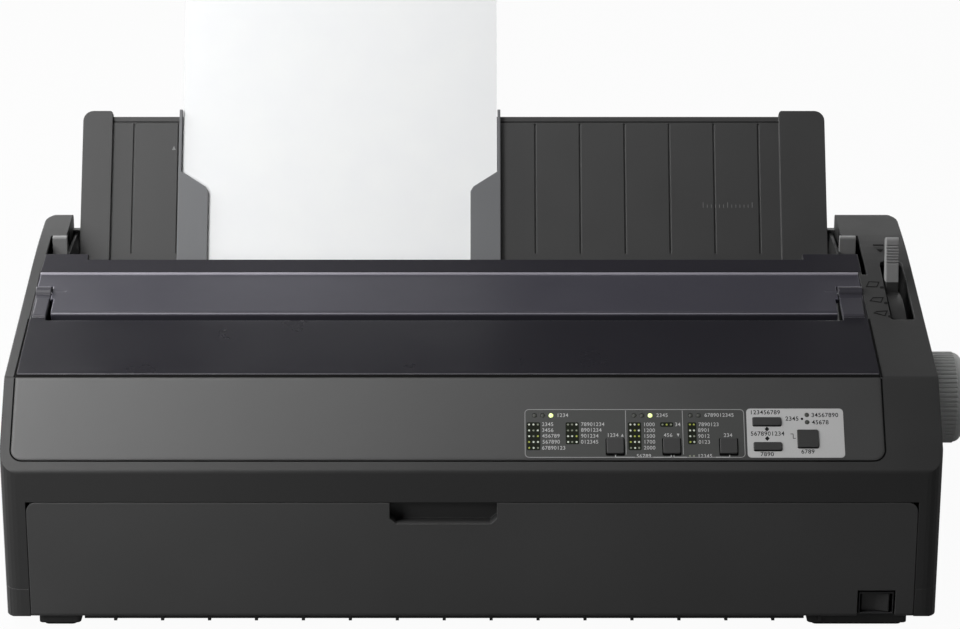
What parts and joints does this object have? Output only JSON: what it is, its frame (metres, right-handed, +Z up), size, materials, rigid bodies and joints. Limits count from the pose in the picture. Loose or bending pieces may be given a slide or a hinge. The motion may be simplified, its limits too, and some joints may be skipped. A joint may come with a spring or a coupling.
{
  "type": "dot matrix printer",
  "caption": "Wide-carriage dot matrix printer with smoked hinged cover, tear-off cover, control panel, front cover, rear paper guide with edge guides, platen knob and release lever.",
  "frame": {"origin": "on the table, under the middle of the whole object's bounding box", "axes": "+X to the user's right along the platen, +Y from the front face to the back, +Z up"},
  "size_m": [0.611, 0.398, 0.3901],
  "materials": {
    "black_part": "satin",
    "board": "solder mask",
    "bright_steel": "ground",
    "bronze": "sintered",
    "button_black": "satin",
    "case_black": "fine moulded grain",
    "cover_grey": "fine moulded grain",
    "guide_grey": "fine moulded grain",
    "knob_grey": "fine moulded grain",
    "lamp": "clear, glossy",
    "motor": "satin",
    "panel_grey": "fine moulded grain",
    "rubber": "matt",
    "sheet": "uncoated sheet",
    "smoked": "smoked, glossy",
    "steel": "zinc plated",
    "white_part": "natural"
  },
  "bodies": {
    "case": {"lower_case": "case_black", "upper_case": "case_black", "control_panel": "panel_grey", "cover_pivot_pins": "bright_steel", "power_switch_body": "black_part", "status_lamps": "lamp", "guide_post_left": "guide_grey", "guide_post_right": "guide_grey", "side_frame_left": "steel", "side_frame_right": "steel", "front_rail": "steel", "carriage_shaft": "bright_steel", "carriage_belt": "rubber", "carriage_motor": "motor", "platen_bushes": "bronze", "feed_motor": "motor", "tractor_rod": "bright_steel", "paper_chute": "steel", "main_board": "board", "power_supply": "board", "ac_inlet": "black_part", "parallel_port": "steel", "usb_port": "steel", "rubber_feet": "rubber", "case_screws": "bright_steel"},
    "tear_off_cover": {"tear_off_cover": "cover_grey", "window_hinge_pins": "bright_steel"},
    "window_cover": {"window_cover": "smoked"},
    "front_cover": {"front_cover": "case_black"},
    "power_rocker": {"power_rocker": "button_black"},
    "button_pitch": {"button_pitch": "button_black"},
    "button_item": {"button_item": "button_black"},
    "button_font": {"button_font": "button_black"},
    "button_load": {"button_load": "button_black"},
    "button_feed": {"button_feed": "button_black"},
    "button_pause": {"button_pause": "button_black"},
    "paper_guide": {"paper_guide": "cover_grey"},
    "edge_guide_left": {"edge_guide_left": "guide_grey"},
    "edge_guide_right": {"edge_guide_right": "guide_grey"},
    "paper_sheet": {"paper_sheet": "sheet"},
    "carriage": {"carriage": "black_part", "print_head": "motor"},
    "drive_pulley": {"drive_pulley": "white_part"},
    "idler_pulley": {"idler_pulley": "white_part"},
    "ribbon_cartridge": {"ribbon_cartridge": "black_part"},
    "ribbon_knob": {"ribbon_knob": "black_part"},
    "platen": {"platen_roller": "rubber", "platen_shaft": "bright_steel", "platen_gear": "white_part", "platen_knob": "knob_grey"},
    "idler_gear": {"idler_gear": "white_part"},
    "motor_pinion": {"motor_pinion": "bronze"},
    "pressure_rollers": {"pressure_rollers": "rubber"},
    "release_lever": {"release_lever": "knob_grey"},
    "tractor_left": {"tractor_left": "black_part"},
    "tractor_right": {"tractor_right": "black_part"},
    "tractor_lid_left": {"tractor_lid_left": "black_part"},
    "tractor_lid_right": {"tractor_lid_right": "black_part"},
    "tractor_shaft": {"tractor_shaft": "bright_steel"}
  },
  "joints": [
    {"name": "tear_off_hinge", "type": "hinge", "parent": "case", "child": "tear_off_cover", "pos_m": [-0.0155, -0.03095, 0.17619], "axis": [-1, 0, 0], "range_deg": [0, 60]},
    {"name": "window_hinge", "type": "hinge", "parent": "tear_off_cover", "child": "window_cover", "pos_m": [-0.0155, -0.05233, 0.17144], "axis": [-1, 0, 0], "range_deg": [0, 95]},
    {"name": "front_cover_hinge", "type": "hinge", "parent": "case", "child": "front_cover", "pos_m": [-0.0155, -0.1964, 0.0108], "axis": [1, 0, 0], "range_deg": [0, 85]},
    {"name": "power_rocker_tilt", "type": "hinge", "parent": "case", "child": "power_rocker", "pos_m": [0.2363, -0.1926, 0.017], "axis": [0, 0, 1], "range_deg": [0, 16]},
    {"name": "button_pitch_press", "type": "slide", "parent": "case", "child": "button_pitch", "axis": [0, 0.7431, -0.6691], "range_m": [0, 0.001], "stiffness_N_per_m": 300, "springref_m": -0.0005},
    {"name": "button_item_press", "type": "slide", "parent": "case", "child": "button_item", "axis": [0, 0.7431, -0.6691], "range_m": [0, 0.001], "stiffness_N_per_m": 300, "springref_m": -0.0005},
    {"name": "button_font_press", "type": "slide", "parent": "case", "child": "button_font", "axis": [0, 0.7431, -0.6691], "range_m": [0, 0.001], "stiffness_N_per_m": 300, "springref_m": -0.0005},
    {"name": "button_load_press", "type": "slide", "parent": "case", "child": "button_load", "axis": [0, 0.7431, -0.6691], "range_m": [0, 0.001], "stiffness_N_per_m": 300, "springref_m": -0.0005},
    {"name": "button_feed_press", "type": "slide", "parent": "case", "child": "button_feed", "axis": [0, 0.7431, -0.6691], "range_m": [0, 0.001], "stiffness_N_per_m": 300, "springref_m": -0.0005},
    {"name": "button_pause_press", "type": "slide", "parent": "case", "child": "button_pause", "axis": [0, 0.7431, -0.6691], "range_m": [0, 0.001], "stiffness_N_per_m": 300, "springref_m": -0.0005},
    {"name": "paper_guide_fold", "type": "hinge", "parent": "case", "child": "paper_guide", "pos_m": [-0.0155, 0.053, 0.152], "axis": [-1, 0, 0], "range_deg": [0, 45]},
    {"name": "edge_guide_left_slide", "type": "slide", "parent": "paper_guide", "child": "edge_guide_left", "axis": [1, 0, 0], "range_m": [-0.04, 0]},
    {"name": "edge_guide_right_slide", "type": "slide", "parent": "paper_guide", "child": "edge_guide_right", "axis": [1, 0, 0], "range_m": [0, 0.185]},
    {"name": "sheet_feed", "type": "slide", "parent": "paper_guide", "child": "paper_sheet", "axis": [0, 0.5135, 0.8581], "range_m": [0, 0.12]},
    {"name": "carriage_slide", "type": "slide", "parent": "case", "child": "carriage", "axis": [1, 0, 0], "range_m": [0, 0.37]},
    {"name": "drive_pulley_spin", "type": "hinge", "parent": "case", "child": "drive_pulley", "pos_m": [0.1965, -0.111, 0.058], "axis": [0, 0, 1], "continuous": true},
    {"name": "idler_pulley_spin", "type": "hinge", "parent": "case", "child": "idler_pulley", "pos_m": [-0.2515, -0.111, 0.058], "axis": [0, 0, 1], "continuous": true},
    {"name": "ribbon_lift", "type": "slide", "parent": "case", "child": "ribbon_cartridge", "axis": [0, 0, 1], "range_m": [0, 0.012]},
    {"name": "ribbon_knob_spin", "type": "hinge", "parent": "ribbon_cartridge", "child": "ribbon_knob", "pos_m": [0.1645, -0.138, 0.12], "axis": [0, 0, 1], "continuous": true},
    {"name": "platen_spin", "type": "hinge", "parent": "case", "child": "platen", "pos_m": [-0.0155, -0.054, 0.101], "axis": [1, 0, 0], "continuous": true},
    {"name": "idler_gear_spin", "type": "hinge", "parent": "case", "child": "idler_gear", "pos_m": [-0.2912, -0.02893, 0.07112], "axis": [1, 0, 0], "continuous": true},
    {"name": "motor_pinion_spin", "type": "hinge", "parent": "case", "child": "motor_pinion", "pos_m": [-0.2912, -0.01408, 0.05627], "axis": [1, 0, 0], "continuous": true},
    {"name": "pressure_roller_spin", "type": "hinge", "parent": "case", "child": "pressure_rollers", "pos_m": [-0.0155, -0.03237, 0.08586], "axis": [1, 0, 0], "continuous": true},
    {"name": "release_lever_swing", "type": "hinge", "parent": "case", "child": "release_lever", "pos_m": [0.2605, -0.054, 0.101], "axis": [1, 0, 0], "range_deg": [0, 32]},
    {"name": "tractor_left_slide", "type": "slide", "parent": "case", "child": "tractor_left", "axis": [1, 0, 0], "range_m": [-0.012, 0.1]},
    {"name": "tractor_right_slide", "type": "slide", "parent": "case", "child": "tractor_right", "axis": [1, 0, 0], "range_m": [-0.1, 0.05]},
    {"name": "tractor_lid_left_hinge", "type": "hinge", "parent": "tractor_left", "child": "tractor_lid_left", "pos_m": [-0.2275, 0.112, 0.1312], "axis": [0, -1, 0], "range_deg": [0, 90]},
    {"name": "tractor_lid_right_hinge", "type": "hinge", "parent": "tractor_right", "child": "tractor_lid_right", "pos_m": [0.1465, 0.112, 0.1312], "axis": [0, 1, 0], "range_deg": [0, 90]},
    {"name": "tractor_shaft_spin", "type": "hinge", "parent": "case", "child": "tractor_shaft", "pos_m": [-0.0155, 0.105, 0.12], "axis": [1, 0, 0], "continuous": true}
  ],
  "couplings": [
    {"joint": "drive_pulley_spin", "follows": "carriage_slide", "rad_per_m": 113.64},
    {"joint": "idler_pulley_spin", "follows": "carriage_slide", "rad_per_m": 113.64},
    {"joint": "idler_gear_spin", "follows": "platen_spin", "ratio": -1.6},
    {"joint": "motor_pinion_spin", "follows": "platen_spin", "ratio": 4},
    {"joint": "pressure_roller_spin", "follows": "platen_spin", "ratio": -2.7143}
  ]
}
